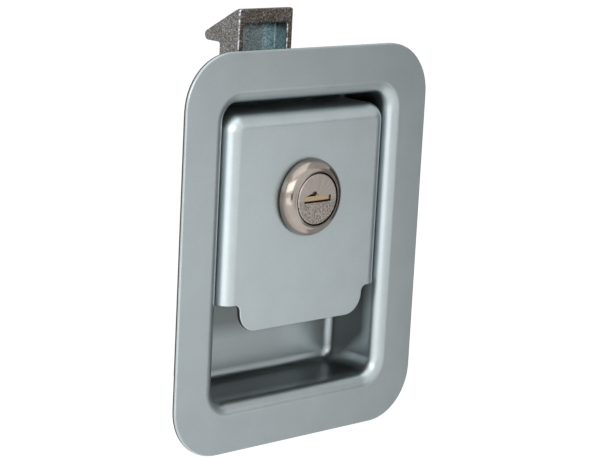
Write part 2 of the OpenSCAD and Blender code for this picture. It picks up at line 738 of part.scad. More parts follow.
// Brass plug with keyway, wafer slots, shutter pocket and square drive
module lock_plug() color(brass) at_lock() {
    head_d = face_d - 2 * cap_sheet - 2 * press_fit;
    difference() {
        union() {
            rod_y(head_d, cap_front_y + cap_sheet + press_fit, cap_back_y);
            rod_y(plug_d, cap_back_y - 0.5, plug_end_y);
            plate_y(plug_end_y - 0.5, cam_back_y) square(drive_sq, center = true);
        }
        plate_y(cap_front_y, shutter_y + shutter_room)
            translate([0, (shutter_low - 0.2 + shutter_eye_z + shutter_eye_d / 2 + 0.1) / 2 - lock_z])
                square([shutter_w + 0.3, shutter_eye_z + shutter_eye_d / 2 - shutter_low + 0.3],
                       center = true);
        translate([0, shutter_eye_y, shutter_eye_z - lock_z])
            rod_x(shutter_pin_d + 2 * press_fit, -shutter_w / 2 - 0.8, shutter_w / 2 + 0.8);
        plate_y(cap_front_y, wafer_y(wafer_count) + 0.5) square([keyway_w, keyway_h], center = true);
        for (i = [0 : wafer_count - 1]) plate_y(wafer_y(i), wafer_y(i) + wafer_t + 2 * run_fit)
            square([wafer_w + 2 * run_fit, plug_d + 1], center = true);
        rod_y(screw_d + 2 * press_fit, cam_back_y - screw_len - 0.5, cam_back_y + 1);
    }
}

// Stainless cap over the front of the plug
module plug_cap() color(nickel) at_lock() difference() {
    rod_y(face_d, cap_front_y, cap_back_y);
    rod_y(face_d - 2 * cap_sheet, cap_front_y + cap_sheet, cap_back_y + 1);
    plate_y(cap_front_y - 1, cap_front_y + cap_sheet + 1) key_slot(key_slot_w, key_slot_h);
}

// Flap that closes the key slot until the key pushes it in
module dust_shutter() color(brass) difference() {
    union() {
        translate([-shutter_w / 2, shutter_y, shutter_low])
            cube([shutter_w, shutter_t, shutter_eye_z - shutter_low]);
        translate([0, shutter_eye_y, shutter_eye_z]) rod_x(shutter_eye_d, -shutter_w / 2, shutter_w / 2);
    }
    translate([0, shutter_eye_y, shutter_eye_z])
        rod_x(shutter_pin_d + 2 * run_fit, -shutter_w, shutter_w);
}

// Hair pin that carries the shutter
module shutter_pin() color(spring_steel) translate([0, shutter_eye_y, shutter_eye_z])
    rod_x(shutter_pin_d, -shutter_w / 2 - 0.7, shutter_w / 2 + 0.7);

// Flat wafers, at rest inside the plug's diameter while the key is in
module lock_wafers() color(brass) at_lock() for (i = [0 : wafer_count - 1])
    plate_y(wafer_y(i) + run_fit, wafer_y(i) + run_fit + wafer_t) difference() {
        intersection() {
            square([wafer_w, plug_d], center = true);
            circle(d = plug_d - 0.1);
        }
        translate([0, wafer_step * (i % 3 - 1)])
            square([keyway_w - 2 * wafer_rim + 1, keyway_h + 2 * wafer_step], center = true);
    }

// Washer on the square drive: its tab meets the housing's stop a quarter turn on
module stop_washer() color(steel) at_lock()
    plate_y(plug_end_y + 0.02, plug_end_y + stop_t - 0.1) difference() {
        union() {
            circle(d = plug_d);
            intersection() {
                circle(d = barrel_flats - 0.2);
                polygon([[0, 0], barrel_flats * [-sin(stop_tab_half), -cos(stop_tab_half)],
                         barrel_flats * [sin(stop_tab_half), -cos(stop_tab_half)]]);
            }
        }
        square(drive_sq + 2 * press_fit, center = true);
    }

// Cam: hangs down when unlocked, and turns behind the edge of the pan's window to lock
module lock_cam() color(zinc) at_lock() plate_y(cam_front_y, cam_back_y) difference() {
    union() {
        circle(d = cam_hub_d);
        translate([-cam_w / 2, -cam_len + cam_w / 2]) square([cam_w, cam_len - cam_w / 2]);
        translate([0, -cam_len + cam_w / 2]) circle(d = cam_w);
    }
    square(drive_sq + 2 * press_fit, center = true);
}

// Washer under the cam screw
module cam_washer() color(spring_steel) at_lock()
    ring_y(screw_head_d + 1, screw_d + 2 * press_fit, cam_back_y, screw_y);

// Pan-head screw in the end of the plug, with a cross recess
module cam_screw() color(steel) at_lock() difference() {
    union() {
        rod_y(screw_d, cam_back_y - screw_len, screw_y + lap);
        turn_y() intersection() {
            translate([0, screw_y]) square([screw_head_d / 2, screw_head_h]);
            translate([0, screw_y - screw_head_d * 0.28])
                circle(r = screw_head_d * 0.28 + screw_head_h);
        }
    }
    plate_y(screw_back_y - 1.1, screw_back_y + 1) for (a = [0, 90])
        rotate(a) square([screw_head_d * 0.55, 0.9], center = true);
}

// ---- bolt ----

// Points along an arc
function arc(centre, r, a0, a1, steps) =
    [for (i = [0 : steps]) let (a = a0 + (a1 - a0) * i / steps) centre + r * [cos(a), sin(a)]];

// Side view of the bolt, in Y and Z: shank, sloped nose and round tip
module bolt_side() {
    start = [bolt_front_y + nose_land, bolt_top];
    tip = [tip_centre_y, tip_centre_z];
    slope = atan2(tip[1] - start[1], tip[0] - start[0]) + asin(nose_tip_r / norm(tip - start));
    root = [bolt_back_y + nose_root_r, tip_centre_z - nose_tip_r - nose_root_r];
    polygon(concat([[bolt_front_y, bolt_low], [bolt_front_y, bolt_top], start],
                   arc(tip, nose_tip_r, slope + 90, -90, 10),
                   arc(root, nose_root_r, 90, 180, 6),
                   [[bolt_back_y, bolt_low]]));
}

// Die-cast slam bolt, hollow at the front where the lever reaches in
module bolt() color(casting) difference() {
    intersection() {
        plate_x(-bolt_w / 2, bolt_w / 2) bolt_side();
        translate([0, 0, (bolt_top + bolt_low) / 2]) plate_y(bolt_front_y - 1, tip_centre_y + nose_tip_r + 1)
            round_rect(bolt_w, bolt_top - bolt_low, cast_r);
    }
    translate([0, 0, (bolt_top - pocket_band + pocket_z) / 2]) plate_y(bolt_front_y - 1, pocket_y)
        round_rect(bolt_w - 2 * bolt_wall, bolt_top - pocket_band - pocket_z, cast_r);
    translate([0, 0, stop_z]) rod_y(stop_d + 2 * press_fit, pocket_y - 1, bolt_back_y + 1);
    for (sx = [-1, 1]) translate([sx * spring_pitch / 2, spring_y, bolt_low - 1])
        cylinder(d = spring_pin_d + 2 * press_fit, h = 1 + bolt_foot_h - foot_floor);
}

// Roll pin in the bolt's back: the guide's slot stops it at both ends of the travel
module stop_pin() color(spring_steel) translate([0, 0, stop_z])
    ring_y(stop_d, stop_d * 0.5, pocket_y + 0.2, guide_back_y + 0.6);

// Pins in the bolt's foot that keep the springs straight
module spring_pins() color(steel) for (sx = [-1, 1])
    translate([sx * spring_pitch / 2, spring_y, spring_pin_low])
        cylinder(d = spring_pin_d, h = bolt_low + bolt_foot_h - foot_floor - lap - spring_pin_low);

// Compression springs between the guide's tab and the bolt
module bolt_springs() {
    r = (spring_d - spring_wire) / 2;
    rise = bolt_low - seat_top - spring_wire;
    closed = 0.75;
    steps = 14 * spring_turns;
    slope = (rise - 2 * closed * spring_wire) / (spring_turns - 2 * closed);
    function height(turn) = turn < closed ? turn * spring_wire
        : turn > spring_turns - closed ? rise - (spring_turns - turn) * spring_wire
        : closed * spring_wire + slope * (turn - closed);
    function at(turn) = [r * cos(360 * turn), r * sin(360 * turn), height(turn)];
    color(spring_steel) for (sx = [-1, 1])
        translate([sx * spring_pitch / 2, spring_y, seat_top + spring_wire / 2])
            wire([for (i = [0 : steps]) at(i / 14)], spring_wire, 6);
}

pan();
mounting_studs();
bolt_guide();
guide_rivets();
hinge_pin();
pin_clip();
pin_spacers();
bolt_springs();
paddle_spring();
paddle();
trip_lever();
lock_housing();
toothed_washer();
lock_nut();
lock_plug();
plug_cap();
dust_shutter();
shutter_pin();
lock_wafers();
stop_washer();
lock_cam();
cam_washer();
cam_screw();
bolt();
stop_pin();
spring_pins();
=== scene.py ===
import math

import bmesh
import bpy
from mathutils import Matrix, Vector


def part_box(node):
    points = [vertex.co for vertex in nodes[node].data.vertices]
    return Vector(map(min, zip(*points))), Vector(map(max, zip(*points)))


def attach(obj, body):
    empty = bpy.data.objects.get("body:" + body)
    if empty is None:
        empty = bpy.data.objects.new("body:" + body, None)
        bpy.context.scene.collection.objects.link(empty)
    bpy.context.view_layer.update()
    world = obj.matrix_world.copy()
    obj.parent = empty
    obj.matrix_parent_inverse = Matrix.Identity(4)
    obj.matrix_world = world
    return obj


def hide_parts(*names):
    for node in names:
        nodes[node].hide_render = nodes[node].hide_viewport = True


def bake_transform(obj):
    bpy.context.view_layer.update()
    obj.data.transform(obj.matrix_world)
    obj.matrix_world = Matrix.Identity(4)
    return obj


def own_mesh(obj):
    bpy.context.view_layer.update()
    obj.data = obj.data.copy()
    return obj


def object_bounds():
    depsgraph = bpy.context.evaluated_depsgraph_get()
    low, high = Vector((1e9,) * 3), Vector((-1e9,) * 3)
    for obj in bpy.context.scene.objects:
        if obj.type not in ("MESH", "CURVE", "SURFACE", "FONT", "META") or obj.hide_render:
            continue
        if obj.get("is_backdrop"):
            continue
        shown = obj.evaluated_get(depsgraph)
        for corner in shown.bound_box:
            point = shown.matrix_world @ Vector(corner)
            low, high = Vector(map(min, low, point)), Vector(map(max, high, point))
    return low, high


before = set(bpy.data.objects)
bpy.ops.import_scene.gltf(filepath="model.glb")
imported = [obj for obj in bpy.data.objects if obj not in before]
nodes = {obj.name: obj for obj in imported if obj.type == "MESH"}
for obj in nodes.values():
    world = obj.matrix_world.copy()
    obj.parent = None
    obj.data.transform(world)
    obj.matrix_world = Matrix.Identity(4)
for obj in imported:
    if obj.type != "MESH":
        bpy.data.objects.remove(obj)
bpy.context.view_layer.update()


# ---- Pan ----
# The pan is drawn from 1.2 mm sheet steel in one piece: flange, recess and rear wall, with
# two windows punched in the rear wall. It is zinc plated and passivated, which gives a satin
# grey with a cold tint, and its sheared rim is darker than its faces.

mm = 0.001


def add_node(tree, kind, values, **settings):
    """Adds a shader node, sets it up, and sets or links its inputs by name or number."""
    made = tree.nodes.new(kind)
    for key, value in settings.items():
        setattr(made, key, value)
    for key, value in values.items():
        if isinstance(value, bpy.types.NodeSocket):
            tree.links.new(value, made.inputs[key])
        else:
            made.inputs[key].default_value = value
    return made


def sum_up(tree, operation, *values):
    """Output of a Math node on these values or sockets."""
    return add_node(tree, "ShaderNodeMath", dict(enumerate(values)), operation=operation).outputs[0]


def mix_colors(tree, factor, first, second):
    """Output of a colour mix, from the first at 0 to the second at 1."""
    return add_node(tree, "ShaderNodeMix", {0: factor, 6: first, 7: second},
                    data_type="RGBA").outputs[2]


def split(tree, vector):
    """The X, Y and Z outputs of a vector."""
    return add_node(tree, "ShaderNodeSeparateXYZ", {0: vector}).outputs


def ramp(tree, value, start, end, low=0.0, high=1.0):
    """Output that goes from low to high while the value goes from start to end."""
    return add_node(tree, "ShaderNodeMapRange",
                    {"Value": value, 1: start, 2: end, 3: low, 4: high}).outputs[0]


def noise(tree, place, scale, detail=3.0, roughness=0.5):
    """Output of a noise texture, about 0.5 on average."""
    return add_node(tree, "ShaderNodeTexNoise", {"Vector": place, "Scale": scale, "Detail": detail,
                                                 "Roughness": roughness}).outputs["Fac"]


def shader_group(name, inputs, outputs):
    """An empty shader node group. Inputs are (name, kind, value), and outputs (name, kind)."""
    group = bpy.data.node_groups.new(name, "ShaderNodeTree")
    for socket, kind, value in inputs:
        made = group.interface.new_socket(socket, in_out="INPUT", socket_type="NodeSocket" + kind)
        made.default_value = value
    for socket, kind in outputs:
        group.interface.new_socket(socket, in_out="OUTPUT", socket_type="NodeSocket" + kind)
    return (group, group.nodes.new("NodeGroupInput").outputs,
            group.nodes.new("NodeGroupOutput").inputs)


def material_of(name, metallic=1.0, **sockets):
    """A material with a Principled shader. Returns the material, its node tree and the shader."""
    material = bpy.data.materials.new(name)
    material.use_nodes = True
    shader = material.node_tree.nodes["Principled BSDF"]
    shader.inputs["Metallic"].default_value = metallic
    for socket, value in sockets.items():
        shader.inputs[socket.replace("_", " ")].default_value = value
    return material, material.node_tree, shader


def dress_shader(tree, shader, color, roughness, height, depth):
    """Feeds colour, roughness and a bump of this depth in metres to the shader."""
    tree.links.new(color, shader.inputs["Base Color"])
    tree.links.new(roughness, shader.inputs["Roughness"])
    bump = add_node(tree, "ShaderNodeBump", {"Strength": 1.0, "Distance": depth, "Height": height})
    tree.links.new(bump.outputs["Normal"], shader.inputs["Normal"])


# Grain of plated sheet: soft clouds, fine crystals, and faint lines along the rolling
plate_grain, given, result = shader_group(
    "plate_grain",
    [("Color", "Color", (0.4, 0.4, 0.4, 1)), ("Roughness", "Float", 0.4),
     ("Clouds", "Float", 0.1), ("Crystals", "Float", 0.1)],
    [("Color", "Color"), ("Roughness", "Float"), ("Height", "Float")])
place = plate_grain.nodes.new("ShaderNodeTexCoord").outputs["Object"]
clouds = noise(plate_grain, place, 95.0)
crystals = noise(plate_grain, place, 2400.0, 4.0, 0.65)
rolled = add_node(plate_grain, "ShaderNodeMapping", {"Vector": place, "Scale": (3600, 3600, 140)})
lines = noise(plate_grain, rolled.outputs[0], 1.0, 2.0)
change = sum_up(plate_grain, "MULTIPLY_ADD", sum_up(plate_grain, "SUBTRACT", clouds, 0.5),
                given["Clouds"], 1.0)
change = sum_up(plate_grain, "MULTIPLY_ADD", sum_up(plate_grain, "SUBTRACT", crystals, 0.5),
                given["Crystals"], change)
shade = add_node(plate_grain, "ShaderNodeVectorMath", {0: given["Color"], 1: change},
                 operation="MULTIPLY")
plate_grain.links.new(shade.outputs[0], result["Color"])
rough = sum_up(plate_grain, "MULTIPLY", given["Roughness"], change)
plate_grain.links.new(rough, result["Roughness"])
plate_grain.links.new(sum_up(plate_grain, "MULTIPLY_ADD", lines, 0.35, crystals), result["Height"])

# Mask of the torn part of a sheet's sheared edges: faces square to the sheet, from where the
# punch's shine ends to the rear side
sheared_edge, given, result = shader_group(
    "sheared_edge", [("Torn From", "Float", 0.0), ("Rear Side", "Float", 0.0)], [("Mask", "Float")])
place = sheared_edge.nodes.new("ShaderNodeTexCoord").outputs
facing, depth = split(sheared_edge, place["Normal"])["Y"], split(sheared_edge, place["Object"])["Y"]
square_on = sum_up(sheared_edge, "LESS_THAN", sum_up(sheared_edge, "ABSOLUTE", facing), 0.6)
torn = sum_up(sheared_edge, "MULTIPLY",
              sum_up(sheared_edge, "LESS_THAN", depth, given["Rear Side"]),
              sum_up(sheared_edge, "GREATER_THAN", depth, given["Torn From"]))
sheared_edge.links.new(sum_up(sheared_edge, "MULTIPLY", square_on, torn), result["Mask"])

# Mask of painted shade in the recess: the faces that look into it darken from 2 mm deep inwards,
# the side and rear walls less so near the bottom
recess_shade, given, result = shader_group("recess_shade", [], [("Mask", "Float")])
place = recess_shade.nodes.new("ShaderNodeTexCoord").outputs
facing, place = split(recess_shade, place["Normal"]), split(recess_shade, place["Object"])
shade_least, shade_side, shade_rear, shade_foot = 0.12, 0.86, 0.62, 0.62


def inner_wall(axis):
    """Mask of the faces that look along an axis and into the recess."""
    inwards = sum_up(recess_shade, "MULTIPLY", facing[axis],
                     sum_up(recess_shade, "SIGN", place[axis]))
    return ramp(recess_shade, inwards, -0.5, -0.9)


slant = sum_up(recess_shade, "MULTIPLY_ADD", place["Y"], 1.1, place["Z"])
on_side = sum_up(recess_shade, "MULTIPLY", inner_wall("X"),
                 ramp(recess_shade, slant, -31 * mm, -25 * mm, shade_least, shade_side))
on_rear = sum_up(recess_shade, "MULTIPLY", inner_wall("Y"),
                 ramp(recess_shade, place["Z"], -31.5 * mm, -26 * mm, shade_least, shade_rear))
on_foot = sum_up(recess_shade, "MULTIPLY", inner_wall("Z"), shade_foot)
painted_shade = sum_up(recess_shade, "MAXIMUM", on_side, sum_up(recess_shade, "MAXIMUM", on_rear, on_foot))
painted_shade = sum_up(recess_shade, "MULTIPLY", painted_shade, ramp(recess_shade, place["Y"], 2 * mm, 6 * mm))
recess_shade.links.new(painted_shade, result["Mask"])

zinc_color = (0.485, 0.541, 0.558)
# The second colour is the dark of the painted shade in the recess
sheared_color, shade_color = (0.11, 0.085, 0.06), (0.06, 0.06, 0.055)


def zinc_sheet(name, roughness=0.36, clouds=0.14, torn=None, color=zinc_color, painted_shade=None):
    """Zinc plated sheet, with sheared edges that are torn between the two depths in torn."""
    material, tree, shader = material_of(name)
    grain = add_node(tree, "ShaderNodeGroup", {}, node_tree=plate_grain)
    for socket, value in (("Color", (*color, 1)), ("Roughness", roughness), ("Clouds", clouds),
                          ("Crystals", 0.3)):
        grain.inputs[socket].default_value = value
    shade, rough = grain.outputs["Color"], grain.outputs["Roughness"]
    # Painted shade: the colour goes dark where the mask group is high
    if painted_shade:
        shade_group = add_node(tree, "ShaderNodeGroup", {}, node_tree=painted_shade)
        shade = mix_colors(tree, shade_group.outputs["Mask"], shade, (*shade_color, 1))
    if torn:
        edge = add_node(tree, "ShaderNodeGroup", {}, node_tree=sheared_edge)
        edge.inputs["Torn From"].default_value, edge.inputs["Rear Side"].default_value = torn
        shade = mix_colors(tree, edge.outputs["Mask"], shade, (*sheared_color, 1))
        rough = sum_up(tree, "MULTIPLY_ADD", edge.outputs["Mask"], 0.25, rough)
    dress_shader(tree, shader, shade, rough, grain.outputs["Height"], 0.004 * mm)
    return material


def arc(centre, radius, start, end, steps):
    """Points of an arc in two axes, angles in degrees, as (across, depth)."""
    turns = [math.radians(start + (end - start) * i / steps) for i in range(steps + 1)]
    return [(centre[0] + radius * math.cos(a), centre[1] + radius * math.sin(a)) for a in turns]


def loop_round(half_w, half_h, radius, y, low=0.0, steps=14):
    """A rounded rectangle at depth y, as points; low moves its middle up or down."""
    points = []
    for k, (sx, sz) in enumerate(((1, 1), (-1, 1), (-1, -1), (1, -1))):
        centre = (sx * (half_w - radius), sz * (half_h - radius))
        points += [(x, y, z + low) for x, z in arc(centre, radius, 90 * k, 90 * k + 90, steps)]
    return points


def add_loop(mesh, points):
    """Adds the vertices of a closed loop, in mm."""
    return [mesh.verts.new(Vector(point) * mm) for point in points]


def join_loops(mesh, first, second):
    """Closes the strip between two loops of the same number of vertices."""
    for i in range(len(first)):
        j = (i + 1) % len(first)
        mesh.faces.new((first[i], first[j], second[j], second[i]))


def fill_flat(mesh, *loops):
    """Fills the flat face inside the first loop and outside the others."""
    edges = set()
    for loop in loops:
        for i, vert in enumerate(loop):
            other = loop[(i + 1) % len(loop)]
            edges.add(mesh.edges.get((vert, other)) or mesh.edges.new((vert, other)))
    made = bmesh.ops.triangle_fill(mesh, use_beauty=True, use_dissolve=False, edges=list(edges))
    faces = [item for item in made["geom"] if isinstance(item, bmesh.types.BMFace)]
    inner = list({e for f in faces for e in f.edges} - edges)
    bmesh.ops.dissolve_limit(mesh, angle_limit=0.001, edges=inner, verts=[],
                             use_dissolve_boundaries=False)


def make_piece(name, mesh, material, slot, body, *replaced, rounding=None, steps=2, sharp=30):
    """Turns a mesh in the making into a piece that rides on a body and stands for CAD nodes."""
    bmesh.ops.recalc_face_normals(mesh, faces=mesh.faces)
    data = bpy.data.meshes.new(name)
    mesh.to_mesh(data)
    mesh.free()
    data.materials.append(material)
    data.polygons.foreach_set("use_smooth", [True] * len(data.polygons))
    piece = bpy.data.objects.new(name, data)
    bpy.context.scene.collection.objects.link(piece)
    if rounding:
        round_edges(piece, rounding, steps, sharp)
    else:
        data.set_sharp_from_angle(angle=math.radians(sharp))
    if body:
        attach(piece, body)
    if replaced:
        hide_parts(*replaced)
    return piece


def round_edges(piece, radius, steps=2, sharp=30):
    """Rounds a piece's sharp edges as tumbling and plating do."""
    rounding = piece.modifiers.new("rounding", "BEVEL")
    rounding.width = radius * mm
    rounding.segments = steps
    rounding.limit_method = "ANGLE"
    rounding.angle_limit = math.radians(sharp)
    rounding.use_clamp_overlap = True
    piece.modifiers.new("shading", "WEIGHTED_NORMAL").weight = 60


pan_sheet = 1.2
face_y = -pan_sheet
flange_half_w, flange_half_h, flange_r = 47.0, 59.0, 16.0
mouth_half_w, mouth_half_h, mouth_r = 36.0, 48.0, 9.0
mouth_bend, floor_bend = 4.0, 3.0
floor_y, back_y = 19.3, 20.5
floor_inset = mouth_bend + 0.589
rim_roll, rim_burr = 0.5, 0.1

low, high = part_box("pan")
assert abs(high.x - flange_half_w * mm) < 1e-5 and abs(high.y - back_y * mm) < 1e-5


def pan_ring(inset, y):
    """A loop round the recess, this far inside the edge of its mouth."""
    return loop_round(mouth_half_w - inset, mouth_half_h - inset, mouth_r - inset, y)


def rim_ring(inset, y):
    """A loop round the flange, this far inside its rim."""
    return loop_round(flange_half_w - inset, flange_half_h - inset, flange_r - inset, y)


front_rings = [rim_ring(rim_roll - a, y)
               for a, y in arc((0, face_y + rim_roll), rim_roll, 0, -90, 4)]
front_rings += [pan_ring(-a, y)
                for a, y in arc((0, face_y + mouth_bend), mouth_bend, -90, -180, 10)]
front_rings += [pan_ring(floor_inset + floor_bend - a, y)
                for a, y in arc((0, floor_y - floor_bend), floor_bend, 0, 90, 8)]
rear_rings = [pan_ring(floor_inset + floor_bend - a, y)
              for a, y in arc((0, floor_y - floor_bend), floor_bend + pan_sheet, 90, 0, 8)]
rear_rings += [pan_ring(-a, y)
               for a, y in arc((0, face_y + mouth_bend), mouth_bend - pan_sheet, -180, -90, 8)]
rear_rings += [rim_ring(rim_burr - a, y) for a, y in arc((0, -rim_burr), rim_burr, 90, 0, 2)]

mesh = bmesh.new()
rings = [add_loop(mesh, ring) for ring in front_rings]
for first, second in zip(rings, rings[1:]):
    join_loops(mesh, first, second)
front_floor, rim_front = rings[-1], rings[0]
rings = [add_loop(mesh, ring) for ring in rear_rings]
for first, second in zip(rings, rings[1:]):
    join_loops(mesh, first, second)
rear_floor, rim_rear = rings[0], rings[-1]
join_loops(mesh, rim_rear, rim_front)
windows = ((6.9, 29.29, 39.7, 0.8), (10.0, -1.44, 25.08, 1.5))
punch_roll = 0.15
fronts, rears = [], []
for half_w, bottom, top, radius in windows:
    middle, half_h = (bottom + top) / 2, (top - bottom) / 2
    loops = [add_loop(mesh, loop_round(half_w + grow, half_h + grow, radius + grow, y, middle, 5))
             for grow, y in ((punch_roll, floor_y), (punch_roll / 3, floor_y + punch_roll / 3),
                             (0, floor_y + punch_roll), (0, back_y))]
    for first, second in zip(loops, loops[1:]):
        join_loops(mesh, first, second)
    fronts.append(loops[0])
    rears.append(loops[-1])
fill_flat(mesh, front_floor, *fronts)
fill_flat(mesh, rear_floor, *rears)
# The pan gets the painted shade in its recess
pan_zinc = zinc_sheet("zinc_pan", torn=(-0.6 * mm, -0.02 * mm), painted_shade=recess_shade)
pan = make_piece("drawn_pan", mesh, pan_zinc, "zinc_sheet", "pan", "pan")
pan.modifiers.new("shading", "WEIGHTED_NORMAL").keep_sharp = True


# ---- Mounting studs ----
# Four M5 studs are resistance welded to the rear of the flange. They are plain zinc plated
# steel with a rolled thread, a chamfered tip and a small ring of weld at the foot.

# Fine scale pitting and streaks for turned and rolled steel
metal_grain, given, result = shader_group(
    "drawn_metal",
    [("Color", "Color", (0.5, 0.5, 0.5, 1)), ("Roughness", "Float", 0.3), ("Stains", "Float", 0.2)],
    [("Color", "Color"), ("Roughness", "Float"), ("Height", "Float")])
place = metal_grain.nodes.new("ShaderNodeTexCoord").outputs["Object"]
stains = noise(metal_grain, place, 420.0, 4.0, 0.6)
specks = noise(metal_grain, place, 3800.0, 2.0)
change = sum_up(metal_grain, "MULTIPLY_ADD", sum_up(metal_grain, "SUBTRACT", stains, 0.5),
                given["Stains"], 1.0)
shade = add_node(metal_grain, "ShaderNodeVectorMath", {0: given["Color"], 1: change},
                 operation="MULTIPLY")
metal_grain.links.new(shade.outputs[0], result["Color"])
rough = sum_up(metal_grain, "MULTIPLY_ADD", specks, 0.15, given["Roughness"])
metal_grain.links.new(rough, result["Roughness"])
metal_grain.links.new(sum_up(metal_grain, "MULTIPLY_ADD", stains, 0.5, specks), result["Height"])


def drawn_metal(name, color, roughness, stains=0.25, depth=0.003):
    """Metal that was drawn, rolled or turned, with light stains and fine pits."""
    material, tree, shader = material_of(name)
    grain = add_node(tree, "ShaderNodeGroup", {}, node_tree=metal_grain)
    for socket, value in (("Color", (*color, 1)), ("Roughness", roughness), ("Stains", stains)):
        grain.inputs[socket].default_value = value
    dress_shader(tree, shader, grain.outputs["Color"], grain.outputs["Roughness"],
                 grain.outputs["Height"], depth * mm)
    return material


plated_steel = drawn_metal("plated_steel", (0.46, 0.47, 0.465), 0.28)


def thread_radius(angle, y, radius, pitch):
    """Radius of a thread with flat crests and roots at this angle and depth."""
    phase = (y / pitch - angle / (2 * math.pi)) % 1.0
    ridge = min(1.0, max(0.0, 2.4 * (0.5 - abs(phase - 0.5)) - 0.1))
    return radius - 0.54 * pitch * ridge


def threaded_rod(mesh, centre_x, centre_z, y_start, y_end, radius_at, sides=28, step=0.1):
    """A closed rod along Y whose radius is radius_at(angle, y)."""
    count = round((y_end - y_start) / step)
    turns = [2 * math.pi * k / sides for k in range(sides)]
    loops = []
    for i in range(count + 1):
        y = y_start + (y_end - y_start) * i / count
        loops.append(add_loop(mesh, [(centre_x + radius_at(a, y) * math.cos(a), y,
                                      centre_z + radius_at(a, y) * math.sin(a)) for a in turns]))
    for first, second in zip(loops, loops[1:]):
        join_loops(mesh, first, second)
    mesh.faces.new(loops[0])
    mesh.faces.new(loops[-1])


stud_r, stud_end, stud_pitch, stud_x, stud_z = 2.5, 13.0, 0.8, 16.0, 51.5
weld_out, weld_high, neck_depth = 0.75, 0.7, 0.25
thread_starts, thread_run_in, tip_chamfer = 0.9, 0.6, 0.9


def stud_radius(angle, y):
    """Weld ring at the foot, a plain neck, the thread, and the chamfer at the tip."""
    weld = stud_r + weld_out * max(0.0, 1 - y / weld_high) ** 2
    neck = stud_r - neck_depth
    thread = thread_radius(angle, y, stud_r, stud_pitch)
    fade = min(1.0, max(0.0, (y - thread_starts) / thread_run_in))
    tip = stud_end - y + stud_r - tip_chamfer
    return max(min(neck + (thread - neck) * fade, tip), weld if y < weld_high else 0)


mesh = bmesh.new()
for x in (-stud_x, stud_x):
    for z in (-stud_z, stud_z):
        threaded_rod(mesh, x, z, 0.0, stud_end, stud_radius)
make_piece("threaded_studs", mesh, plated_steel, "steel", "pan", "mounting_studs", sharp=50)


# ---- Bolt guide ----
# The guide is a hat of 1.6 mm sheet, bent and punched, that holds the bolt to the rear wall.
# Its neck is slotted for the stop pin, and a tab at its foot carries the two springs.

def dress(node, material, radius=None, steps=2, clamp=True):
    """Gives a carried-over piece its material, and rounds its edges."""
    piece = nodes[node]
    piece.data.materials.clear()
    piece.data.materials.append(material)
    if radius:
        piece.modifiers.new("weld", "WELD").merge_threshold = 0.0005 * mm
        flat = piece.modifiers.new("flat", "DECIMATE")
        flat.decimate_type = "DISSOLVE"
        flat.angle_limit = math.radians(0.3)
        round_edges(piece, radius, steps, 38)
        piece.modifiers["rounding"].use_clamp_overlap = clamp
    return piece


inner_zinc = zinc_sheet("zinc_inner_sheet", roughness=0.4, clouds=0.2)
dress("bolt_guide", inner_zinc, 0.15)


# ---- Guide rivets ----
# Four domed steel rivets hold the guide's feet to the rear wall. They are headed cold, and
# each head is smooth with a slight sheen from the forming tool.

rivet_steel = drawn_metal("rivet_steel", (0.40, 0.41, 0.41), 0.25)
dress("guide_rivets", rivet_steel)


# ---- Hinge pin and clip ----
# A headed steel pin crosses the pan through its side walls. A stamped spring clip in its
# groove holds it, and two black nylon washers keep the paddle central.

blued_spring = drawn_metal("blued_spring", (0.16, 0.165, 0.175), 0.3)
dress("hinge_pin", plated_steel, 0.15)
dress("pin_clip", blued_spring, 0.06)

nylon, tree, shader = material_of("black_nylon", metallic=0.0, Roughness=0.5, IOR=1.53)
place = tree.nodes.new("ShaderNodeTexCoord").outputs["Object"]
mottle = noise(tree, place, 900.0)
shade = mix_colors(tree, mottle, (0.012, 0.012, 0.013, 1), (0.03, 0.03, 0.032, 1))
dress_shader(tree, shader, shade,
             sum_up(tree, "MULTIPLY_ADD", mottle, 0.2, 0.4), mottle, 0.01 * mm)
dress("pin_spacers", nylon, 0.15)


# ---- Bolt springs ----
# Two compression springs of 0.6 mm wire push the bolt up. Each is wound with closed ends and
# stands between the guide's tab and the bolt's foot. The real spring shortens as the bolt goes
# down;
# this one keeps the length it has with the bolt up.

spring_wire = drawn_metal("spring_wire", (0.42, 0.43, 0.44), 0.22)


def wire_tube(mesh, points, radius, sides=10):
    """A closed round tube along these points, in mm, without twist."""
    points = [Vector(point) for point in points]
    side = None
    loops = []
    for i, point in enumerate(points):
        along = (points[min(i + 1, len(points) - 1)] - points[max(i - 1, 0)]).normalized()
        if side is None:
            side = along.orthogonal()
        side = (side - along * side.dot(along)).normalized()
        other = along.cross(side)
        turns = [2 * math.pi * k / sides for k in range(sides)]
        loops.append(add_loop(mesh, [point + radius * (math.cos(a) * side + math.sin(a) * other)
                                     for a in turns]))
    for first, second in zip(loops, loops[1:]):
        join_loops(mesh, first, second)
    mesh.faces.new(loops[0])
    mesh.faces.new(loops[-1])


seat_z, bolt_foot_z, travel = 10.583, 32.8, 9.234
wire, coil_r, spring_turns, spring_x, spring_y = 0.6, 2.0, 9, 7.4, 27.3
dead_turns = 0.75
rise = bolt_foot_z - seat_z - wire - 0.02
live_slope = (rise - 2 * dead_turns * wire) / (spring_turns - 2 * dead_turns)


def coil_height(turn):
    """Height of the wire above the tab: closed at both ends, open between them."""
    if turn < dead_turns:
        return turn * wire
    if turn > spring_turns - dead_turns:
        return rise - (spring_turns - turn) * wire
    return dead_turns * wire + live_slope * (turn - dead_turns)


mesh = bmesh.new()
for x in (-spring_x, spring_x):
    coil = []
    for i in range(spring_turns * 24 + 1):
        turn = i / 24
        a = 2 * math.pi * turn
        coil.append((x + coil_r * math.cos(a), spring_y + coil_r * math.sin(a),
                     seat_z + wire / 2 + coil_height(turn) + 0.01))
    wire_tube(mesh, coil, wire / 2, 8)
springs = make_piece("bolt_coils", mesh, spring_wire, "spring_steel", "pan", "bolt_springs",
                     sharp=60)
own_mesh(springs)
